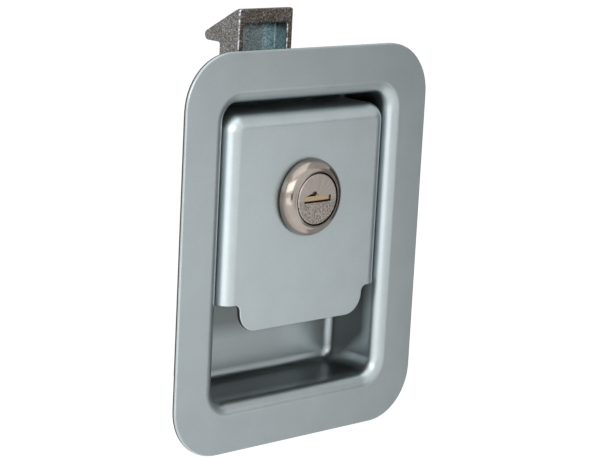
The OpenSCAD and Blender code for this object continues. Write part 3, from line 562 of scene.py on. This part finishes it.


# ---- Paddle spring ----
# A torsion spring of 0.9 mm wire on the hinge pin closes the paddle. One leg rests on the
# rear wall, and the other hooks under the lever; in the latch it turns with the lever, but here
# the spring is drawn in one pose and rides on no body.

pin_y, pin_z = 8.0, 33.483
coil_wire, coil_mean_r = 0.9, 3.6
lever_half_w, lever_low = 6.3, 36.85
wall_leg = (floor_y - coil_wire / 2 - 0.3 - pin_y, 39.411 - pin_z)
hook_leg = (8.4, lever_low - coil_wire / 2 - 0.1 - pin_z)


def leaving_angle(leg, sign):
    """Angle on the coil at which a straight leg leaves it."""
    reach = math.hypot(*leg)
    lean = math.degrees(math.acos(coil_mean_r / reach))
    return math.degrees(math.atan2(leg[1], leg[0])) + sign * lean


first_x = lever_half_w + 1.4
rounds, coil_pitch = 5, coil_wire * 1.12
start_turn = leaving_angle(wall_leg, 1)
end_turn = leaving_angle(hook_leg, -1) + rounds * 360
last_x = first_x + coil_pitch * (end_turn - start_turn) / 360


def spring_point(x, leg):
    """A point of the spring, from its place relative to the hinge pin."""
    return x, pin_y + leg[0], pin_z + leg[1]


wind = [spring_point(last_x, wall_leg)]
steps = 24 * rounds
for i in range(steps + 1):
    a = math.radians(start_turn + (end_turn - start_turn) * i / steps)
    wind.append(spring_point(last_x - (last_x - first_x) * i / steps,
                             (coil_mean_r * math.cos(a), coil_mean_r * math.sin(a))))
wind += [spring_point(first_x, (hook_leg[0] - 1.0, hook_leg[1])),
         spring_point(first_x - 0.3, (hook_leg[0] - 0.3, hook_leg[1])),
         spring_point(first_x - 1.0, hook_leg), spring_point(1.0, hook_leg)]
mesh = bmesh.new()
wire_tube(mesh, wind, coil_wire / 2)
coil = make_piece("paddle_coil", mesh, spring_wire, "spring_steel", None, "paddle_spring",
                  sharp=60)
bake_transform(coil)


# ---- Paddle ----
# The paddle is a shallow cup of 1.5 mm sheet, pressed and bent, with a flat finger tongue
# below its shoulders. It has the same plating as the pan.

paddle_sheet, paddle_bend = 1.5, 4.5
paddle_half_w, paddle_top, paddle_r = 31.0, 41.0, 5.5
cup_rim_y, shoulder_z, tongue_z = 13.5, -14.7, -23.2
tongue_half_w, tongue_r, shoulder_r = 24.2, 6.3, 2.0
lock_z, lock_hole_r, lock_hole_flat = 15.083, 9.35, 8.25
corner_x, corner_z = paddle_half_w - paddle_r, paddle_top - paddle_r
face_end = paddle_r - paddle_bend


def paddle_path(reach, steps=12):
    """Left side, top and right side of the paddle, this far out from its corners' centres."""
    points = [(-corner_x - reach, shoulder_z), (-corner_x - reach, shoulder_z + 2.0)]
    points += [(-corner_x + x, corner_z + z) for x, z in arc((0, 0), reach, 180, 90, steps)]
    points += [(corner_x + x, corner_z + z) for x, z in arc((0, 0), reach, 90, 0, steps)]
    return points + [(corner_x + reach, shoulder_z + 2.0), (corner_x + reach, shoulder_z)]


def tongue_outline():
    """Bottom edge of the face, from the right shoulder round the tongue to the left one."""
    right = [(tongue_half_w + shoulder_r + x, shoulder_z - shoulder_r + z)
             for x, z in arc((0, 0), shoulder_r, 90, 180, 6)]
    right += [(tongue_half_w - tongue_r + x, tongue_z + tongue_r + z)
              for x, z in arc((0, 0), tongue_r, 0, -90, 12)]
    return right + [(-x, z) for x, z in reversed(right)]


def flatted_loop(radius, flat, y, sides=64):
    """A round loop about the lock's axis with a flat at each side."""
    turns = [2 * math.pi * k / sides for k in range(sides)]
    return [(max(-flat, min(flat, radius * math.cos(a))), y, lock_z + radius * math.sin(a))
            for a in turns]


def join_rows(mesh, first, second):
    """Closes the open strip between two rows of the same number of vertices."""
    for i in range(len(first) - 1):
        mesh.faces.new((first[i], first[i + 1], second[i + 1], second[i]))


mesh = bmesh.new()
skins = []
bend_centre = (face_end, face_y + paddle_bend)
for radius in (paddle_bend, paddle_bend - paddle_sheet):
    profile = arc(bend_centre, radius, -90, 0, 9) + [(bend_centre[0] + radius, cup_rim_y)]
    rows = [add_loop(mesh, [(x, y, z) for x, z in paddle_path(reach)]) for reach, y in profile]
    for low_row, high_row in zip(rows, rows[1:]):
        join_rows(mesh, low_row, high_row)
    y = profile[0][1]
    edge = add_loop(mesh, [(x, y, z) for x, z in tongue_outline()])
    hole = add_loop(mesh, flatted_loop(lock_hole_r, lock_hole_flat, y))
    skins.append((rows, edge, hole))
    fill_flat(mesh, rows[0] + edge, hole)
(outer_rows, outer_edge, outer_hole), (inner_rows, inner_edge, inner_hole) = skins
join_rows(mesh, outer_rows[-1], inner_rows[-1])
join_loops(mesh, outer_hole, inner_hole)
for end in (0, -1):
    join_rows(mesh, [row[end] for row in outer_rows], [row[end] for row in inner_rows])
outer_edge = [outer_rows[0][-1]] + outer_edge + [outer_rows[0][0]]
inner_edge = [inner_rows[0][-1]] + inner_edge + [inner_rows[0][0]]
join_rows(mesh, outer_edge, inner_edge)
paddle_zinc = zinc_sheet("zinc_paddle", roughness=0.37, torn=(-0.5 * mm, 0.28 * mm),
                         color=(0.57, 0.636, 0.654))
make_piece("pressed_paddle", mesh, paddle_zinc, "zinc_sheet", "paddle", "paddle",
           rounding=0.28, steps=3, sharp=40)


# ---- Trip lever ----
# The lever is folded from 2.5 mm sheet. Its foot is welded to the back of the paddle, its
# ears turn on the hinge pin, and its arm reaches through the window into the bolt.

dress("trip_lever", inner_zinc, 0.2)


# ---- Lock housing ----
# The domed bezel and the flatted barrel are one zinc casting. The dome is buffed and nickel
# plated, and the barrel is threaded for the nut behind the paddle.

def off_lock_axis(tree, across, up):
    """Distance from the lock's axis."""
    flat = add_node(tree, "ShaderNodeCombineXYZ", {"X": across, "Z": up}).outputs[0]
    return add_node(tree, "ShaderNodeVectorMath", {0: flat}, operation="LENGTH").outputs["Value"]


nickel, tree, shader = material_of("buffed_nickel")
place = tree.nodes.new("ShaderNodeTexCoord").outputs["Object"]
haze = noise(tree, place, 260.0, 4.0, 0.6)
specks = noise(tree, place, 5200.0, 2.0)
thread_pitch, thread_start = 1.0, 4.6
parts = split(tree, place)
up_from_axis = sum_up(tree, "SUBTRACT", parts["Z"], lock_z * mm)
off_axis = off_lock_axis(tree, parts["X"], up_from_axis)
turned = sum_up(tree, "DIVIDE", sum_up(tree, "ARCTAN2", up_from_axis, parts["X"]), 2 * math.pi)
ridge = sum_up(tree, "MULTIPLY_ADD", parts["Y"], 1000 / thread_pitch, turned)
ridge = sum_up(tree, "PINGPONG", ridge, 0.5)
on_barrel = sum_up(tree, "MULTIPLY", sum_up(tree, "GREATER_THAN", parts["Y"], thread_start * mm),
                   sum_up(tree, "GREATER_THAN", off_axis, (lock_hole_r - 0.2) * mm))
relief = sum_up(tree, "MULTIPLY_ADD", specks, 0.002, sum_up(tree, "MULTIPLY", ridge, on_barrel))
shade = mix_colors(tree, haze, (0.31, 0.27, 0.237, 1), (0.47, 0.42, 0.38, 1))
# Painted shade: the dome's outer band goes dark olive towards its foot
outer_shade = ramp(tree, parts["Y"], -4.6 * mm, -1.9 * mm, 0.0, 0.8)
shade = mix_colors(tree, outer_shade, shade, (0.13, 0.12, 0.095, 1))
# Painted shadow: near black on the ring where the dome meets the paddle, and in the bore round the
# plug
gap_shadow = sum_up(tree, "MULTIPLY", sum_up(tree, "GREATER_THAN", parts["Y"], -1.8 * mm),
               sum_up(tree, "LESS_THAN", parts["Y"], -1 * mm))
gap_shadow = sum_up(tree, "MAXIMUM", gap_shadow, sum_up(tree, "LESS_THAN", off_axis, 7.99 * mm))
shade = mix_colors(tree, gap_shadow, shade, (0.03, 0.028, 0.025, 1))
dress_shader(tree, shader, shade, sum_up(tree, "MULTIPLY_ADD", haze, 0.16, 0.1), relief, 0.8 * mm)
dress("lock_housing", nickel)


# ---- Washer and nut behind the paddle ----
# A toothed washer and a flat hexagon nut clamp the lock in the paddle.

dress("toothed_washer", blued_spring, 0.05)
dress("lock_nut", plated_steel, 0.25)


# ---- Plug ----
# The brass plug turns in the housing. Five flat wafers slide across it, and a stainless cap
# with the key slot covers its front.

brass = drawn_metal("brass", (0.55, 0.40, 0.20), 0.3)
dress("lock_plug", brass)
dress("lock_wafers", brass, 0.05)

cap_r, cap_sheet, cap_front, cap_rear, cap_edge = 7.6, 0.45, -5.55, -2.3, 0.4
slot_half_w, slot_half_h = 5.2, 0.95
slot = [(-slot_half_w, slot_half_h), (-slot_half_w, -slot_half_h), (slot_half_w, -slot_half_h),
        (slot_half_w, slot_half_h), (0.9, slot_half_h), (0.35, 1.1), (-0.25, 1.6)]
slot += arc((-1.2, 1.6), 0.85, 20, 135, 8) + [(-2.6, 1.72), (-4.9, slot_half_h)]


def lock_ring(radius, y, sides=96):
    """A circle about the lock's axis at depth y."""
    return [(x, y, lock_z + z) for x, z in arc((0, 0), radius, 0, 360, sides)[:-1]]


mesh = bmesh.new()
outside = [(cap_r - cap_edge - a, y)
           for a, y in arc((0, cap_front + cap_edge), cap_edge, -90, -180, 5)]
inside = [(cap_r - cap_sheet, cap_rear), (cap_r - cap_sheet, cap_front + cap_sheet)]
rings = [add_loop(mesh, lock_ring(radius, y))
         for radius, y in outside + [(cap_r, cap_rear)] + inside]
for first, second in zip(rings, rings[1:]):
    join_loops(mesh, first, second)
slots = [add_loop(mesh, [(x, y, lock_z + z) for x, z in slot])
         for y in (cap_front, cap_front + cap_sheet)]
join_loops(mesh, *slots)
fill_flat(mesh, rings[0], slots[0])
fill_flat(mesh, rings[-1], slots[1])

# The face is ground in a fan above the slot and peened below it
cap_metal, tree, shader = material_of("brushed_cap")
place = tree.nodes.new("ShaderNodeTexCoord").outputs["Object"]
parts = split(tree, place)
up_from_axis = sum_up(tree, "SUBTRACT", parts["Z"], lock_z * mm)
fan = add_node(tree, "ShaderNodeCombineXYZ", {
    "X": sum_up(tree, "MULTIPLY", sum_up(tree, "ARCTAN2", up_from_axis, parts["X"]), 14.0),
    "Y": sum_up(tree, "MULTIPLY", up_from_axis, 90.0)}).outputs[0]
ground = ramp(tree, noise(tree, fan, 1.0, 3.0, 0.6), 0.0, 1.0, 0.25, 0.85)
peened = ramp(tree, noise(tree, place, 2100.0, 3.0, 0.65), 0.25, 0.75)
below = ramp(tree, up_from_axis, 0.0, -1.6 * mm)
grain = add_node(tree, "ShaderNodeMix", {0: below, 2: ground, 3: peened}).outputs[0]
spread = ramp(tree, grain, 0.3, 0.7)
shade = mix_colors(tree, spread, (0.29, 0.25, 0.225, 1), (0.58, 0.52, 0.48, 1))
# Painted shade: faces near the slot that turn away from the front are near black
facing = split(tree, tree.nodes.new("ShaderNodeTexCoord").outputs["Normal"])
turned_away = sum_up(tree, "GREATER_THAN", facing["Y"], -0.5)
near_slot = sum_up(tree, "LESS_THAN", off_lock_axis(tree, parts["X"], up_from_axis), 6 * mm)
shade = mix_colors(tree, sum_up(tree, "MULTIPLY", turned_away, near_slot), shade,
                   (0.03, 0.027, 0.022, 1))
dress_shader(tree, shader, shade, sum_up(tree, "MULTIPLY_ADD", grain, 0.2, 0.2),
             sum_up(tree, "MULTIPLY", grain, below), 0.09 * mm)
make_piece("slotted_cap", mesh, cap_metal, "nickel_cap", "plug", "plug_cap",
           rounding=0.07, sharp=50)


# ---- Dust shutter ----
# A small brass flap on a hair pin closes the key slot from behind.

shutter_brass = drawn_metal("shutter_brass", (0.62, 0.47, 0.31), 0.34, depth=0.006)
flap_front, flap_t, flap_half_w, flap_low, flap_notch = -5.0, 0.4, 5.3, -0.52, 0.92
eye_r, eye_y, eye_z = 0.5, -4.5, 1.55
notch = (-4.9, -0.1)
mesh = bmesh.new()
outline = [(-flap_half_w, flap_low), (flap_half_w, flap_low), (flap_half_w, eye_z),
           (notch[1], eye_z), (notch[1], flap_notch), (notch[0], flap_notch), (notch[0], eye_z),
           (-flap_half_w, eye_z)]
faces = [add_loop(mesh, [(x, y, lock_z + z) for x, z in outline])
         for y in (flap_front, flap_front + flap_t)]
for loop in faces:
    fill_flat(mesh, loop)
join_loops(mesh, *faces)
for start, end in ((-flap_half_w, notch[0]), (notch[1], flap_half_w)):
    eye = arc((eye_y, eye_z), eye_r, 0, 360, 16)[:-1]
    ends = [add_loop(mesh, [(x, y, lock_z + z) for y, z in eye]) for x in (start, end)]
    join_loops(mesh, *ends)
    for loop in ends:
        mesh.faces.new(loop)
make_piece("shutter_flap", mesh, shutter_brass, "brass", "shutter", "dust_shutter",
           rounding=0.06, sharp=50)
dress("shutter_pin", blued_spring)


# ---- Cam ----
# The cam is blanked from zinc plated sheet and sits on the plug's square end, under a stop
# washer, a spring washer and a pan-head screw.

dress("stop_washer", plated_steel, 0.06)
dress("lock_cam", inner_zinc, 0.15)
dress("cam_washer", blued_spring, 0.06)
dress("cam_screw", plated_steel, 0.08)


# ---- Bolt ----
# The slam bolt is die cast in zinc and left as cast, so its faces are grey-brown. Glints,
# a highlight on its front edges and the pocket's light and shade are painted into its colour.

bolt_front, pocket_rear, pocket_half_w, pocket_top = 20.8, 26.3, 8.45, 63.6
cast_zinc, tree, shader = material_of("cast_zinc")
place = tree.nodes.new("ShaderNodeTexCoord").outputs["Object"]
parts = split(tree, place)
grains = noise(tree, place, 2300.0, 4.0, 0.75)
patches = noise(tree, place, 170.0, 3.0)
facets = add_node(tree, "ShaderNodeTexVoronoi",
                  {"Vector": place, "Scale": 3100.0, "Randomness": 1.0})
chance = add_node(tree, "ShaderNodeSeparateColor", {0: facets.outputs["Color"]}).outputs[0]
facing = split(tree, tree.nodes.new("ShaderNodeTexCoord").outputs["Normal"])
corner = sum_up(tree, "ABSOLUTE", sum_up(tree, "MULTIPLY", facing["X"], facing["Y"]))
# Painted highlight on the front edges, where the faces turn from front to side
edge_highlight = sum_up(tree, "MULTIPLY", ramp(tree, corner, 0.1, 0.3),
                sum_up(tree, "LESS_THAN", parts["Y"], (bolt_front + 1) * mm))
skin = sum_up(tree, "LESS_THAN", parts["Y"], (bolt_front + 0.12) * mm)
hollow = sum_up(tree, "MULTIPLY", sum_up(tree, "GREATER_THAN", parts["Y"], (bolt_front + 0.5) * mm),
                sum_up(tree, "LESS_THAN", sum_up(tree, "ABSOLUTE", parts["X"]),
                       (pocket_half_w + 0.1) * mm))
hollow = sum_up(tree, "MULTIPLY", hollow,
                sum_up(tree, "LESS_THAN", parts["Y"], (pocket_rear + 0.1) * mm))
shade = mix_colors(tree, patches, (0.15, 0.14, 0.125, 1), (0.24, 0.235, 0.225, 1))
shade = mix_colors(tree, skin, shade, (0.17, 0.135, 0.11, 1))
# Painted light in the pocket: a lighter, bluer colour than the rest of the bolt, with a pale cyan
# highlight at one side
pocket_highlight = sum_up(tree, "MULTIPLY", ramp(tree, parts["X"], 3.0 * mm, 4.2 * mm),
                  sum_up(tree, "GREATER_THAN", sum_up(tree, "ABSOLUTE", facing["Y"]), 0.7))
painted_pocket = mix_colors(tree, pocket_highlight, (0.38, 0.47, 0.49, 1), (0.56, 0.84, 0.92, 1))
# Painted shadow under the pocket's top
top_shadow = ramp(tree, parts["Z"], (pocket_top - 2.6) * mm, (pocket_top - 0.8) * mm, 0.0, 0.9)
painted_pocket = mix_colors(tree, top_shadow, painted_pocket, (0.02, 0.03, 0.03, 1))
shade = mix_colors(tree, hollow, shade, painted_pocket)
dark_grains = ramp(tree, grains, 0.40, 0.58, 0.3, 1.0)
shade = mix_colors(tree, dark_grains, (0.01, 0.01, 0.01, 1), shade)
# Painted glints: random cells go near white
painted_glint = ramp(tree, chance, 0.5, 1.0, 0.0, 0.4)
shade = mix_colors(tree, painted_glint, shade, (0.75, 0.74, 0.72, 1))
# Noise breaks up the painted edge highlight
highlight_breaks = ramp(tree, noise(tree, place, 1500.0, 3.0, 0.7), 0.47, 0.55)
shade = mix_colors(tree, sum_up(tree, "MULTIPLY", edge_highlight, highlight_breaks), shade, (0.85, 0.86, 0.9, 1))
relief = sum_up(tree, "MULTIPLY_ADD", chance, 0.5, grains)
rough = sum_up(tree, "MULTIPLY_ADD", grains, 0.3, 0.22)
dress_shader(tree, shader, shade, rough, relief, 0.07 * mm)
dress("bolt", cast_zinc, 0.42, 3, clamp=False)


# ---- Stop pin and spring pins ----
# A roll pin in the bolt's back runs in the guide's slot, and two short pins in its foot
# keep the springs straight.

dress("stop_pin", blued_spring, 0.08)
dress("spring_pins", plated_steel, 0.1)


# ---- Stage ----
# The latch is shown above a pale floor in a white surround, lit by soft lamps at the left
# and above. Dim cards in front, at the right, below and above are mirrored in the metal.


def seen_rays(tree):
    """1 for rays that see or mirror a thing, and 0 for those that only gather its light."""
    ray = tree.nodes.new("ShaderNodeLightPath").outputs
    return sum_up(tree, "MAXIMUM",
                  sum_up(tree, "MAXIMUM", ray["Is Camera Ray"], ray["Is Glossy Ray"]),
                  ray["Is Transmission Ray"])


world = bpy.data.worlds.new("surround")
bpy.context.scene.world = world
world.use_nodes = True
tree = world.node_tree
tree.nodes.clear()
ambient = add_node(tree, "ShaderNodeBackground", {"Color": (0.95, 0.98, 1, 1), "Strength": 0.4})
white = add_node(tree, "ShaderNodeBackground", {"Color": (1, 1, 1, 1), "Strength": 1.0})
mixed = add_node(tree, "ShaderNodeMixShader", {0: seen_rays(tree), 1: ambient.outputs[0],
                                              2: white.outputs[0]})
surround = tree.nodes.new("ShaderNodeOutputWorld")
tree.links.new(mixed.outputs[0], surround.inputs[0])


def stage_card(name, width, height, color):
    """A flat card of the stage, its middle at the origin."""
    data = bpy.data.meshes.new(name)
    w, h = width / 2, height / 2
    data.from_pydata([(-w, -h, 0), (w, -h, 0), (w, h, 0), (-w, h, 0)], [], [(0, 1, 2, 3)])
    look, tree, shader = material_of(name, metallic=0.0, Roughness=0.9)
    shader.inputs["Base Color"].default_value = (*color, 1)
    data.materials.append(look)
    card = bpy.data.objects.new(name, data)
    bpy.context.scene.collection.objects.link(card)
    card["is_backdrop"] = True
    return card, tree, shader


floor_size, floor_z, floor_glow = 9.0, -0.32, 0.83
floor, tree, shader = stage_card("floor", floor_size, floor_size, (0.45, 0.45, 0.45))
floor.location.z = floor_z
shader.inputs["Emission Color"].default_value = (1, 1, 1, 1)
tree.links.new(sum_up(tree, "MULTIPLY", seen_rays(tree), floor_glow),
               shader.inputs["Emission Strength"])


def aim(thing, azimuth, elevation, distance, target=(0, 0, 0)):
    """Puts a lamp or card at this azimuth and elevation round the target, facing it."""
    a, e = math.radians(azimuth), math.radians(elevation)
    away = Vector((math.sin(a) * math.cos(e), -math.cos(a) * math.cos(e), math.sin(e)))
    thing.location = Vector(target) + away * distance
    thing.rotation_euler = away.to_track_quat("Z", "Y").to_euler()


def soft_lamp(name, azimuth, elevation, distance, width, height, power, color=(1, 1, 1)):
    """A rectangular lamp that faces the latch."""
    lamp = bpy.data.lights.new(name, "AREA")
    lamp.shape = "RECTANGLE"
    lamp.size, lamp.size_y, lamp.energy, lamp.color = width, height, power, color
    holder = bpy.data.objects.new(name, lamp)
    bpy.context.scene.collection.objects.link(holder)
    aim(holder, azimuth, elevation, distance)
    return holder


soft_lamp("front_lamp", -45, -9, 1.0, 1.0, 0.3, 0.9)
soft_lamp("left_lamp", -50, 26, 0.8, 0.75, 0.36, 1.8)
soft_lamp("top_lamp", -20, 75, 1.0, 1.0, 1.0, 2)

for name, azimuth, elevation, distance, width, height, glow in (
        ("lens_card", -24, -2, 0.9, 0.26, 0.22, 0.02),
        ("front_card", 10, -10, 0.9, 0.3, 0.2, 0.75),
        ("room_card", 46, 1, 0.9, 0.42, 0.2, 0.12),
        ("side_card", 57, 0, 0.36, 0.13, 0.3, 0.32),
        ("right_card", 100, -5, 0.5, 0.6, 0.5, 0.06),
        ("floor_card", 47, -27, 0.6, 0.34, 0.12, 0.32),
        ("low_card", 85, -42, 0.35, 0.36, 0.22, 0.5),
        ("high_card", 70, 44, 0.8, 0.9, 0.62, 0.62)):
    card, tree, shader = stage_card(name, width, height, (0, 0, 0))
    shader.inputs["Specular IOR Level"].default_value = 0
    shader.inputs["Emission Color"].default_value = (1, 1, 1, 1)
    shader.inputs["Emission Strength"].default_value = glow
    aim(card, azimuth, elevation, distance)
    card.visible_camera = card.visible_shadow = card.visible_diffuse = False

# The camera looks at the latch from its left and a little above, slightly turned
camera = bpy.data.objects.new("camera", bpy.data.cameras.new("camera"))
bpy.context.scene.collection.objects.link(camera)
bpy.context.scene.camera = camera
camera.data.sensor_width = 36
camera.data.lens = 121.36
turn, rise, roll = math.radians(-42.62), math.radians(11.96), math.radians(2.98)
back = Vector((math.sin(turn) * math.cos(rise), -math.cos(turn) * math.cos(rise), math.sin(rise)))
right = Vector((math.cos(turn), math.sin(turn), 0))
up = back.cross(right)
right, up = (right * math.cos(roll) + up * math.sin(roll),
             up * math.cos(roll) - right * math.sin(roll))
aimed_at, stand_off = Vector((-2.2, -0.97, 4.93)), 594.4
facing_back = Matrix((right, up, back)).transposed().to_4x4()
camera.matrix_world = Matrix.Translation(aimed_at * mm + back * stand_off * mm) @ facing_back
bpy.context.scene.view_settings.view_transform = "Standard"

low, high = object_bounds()
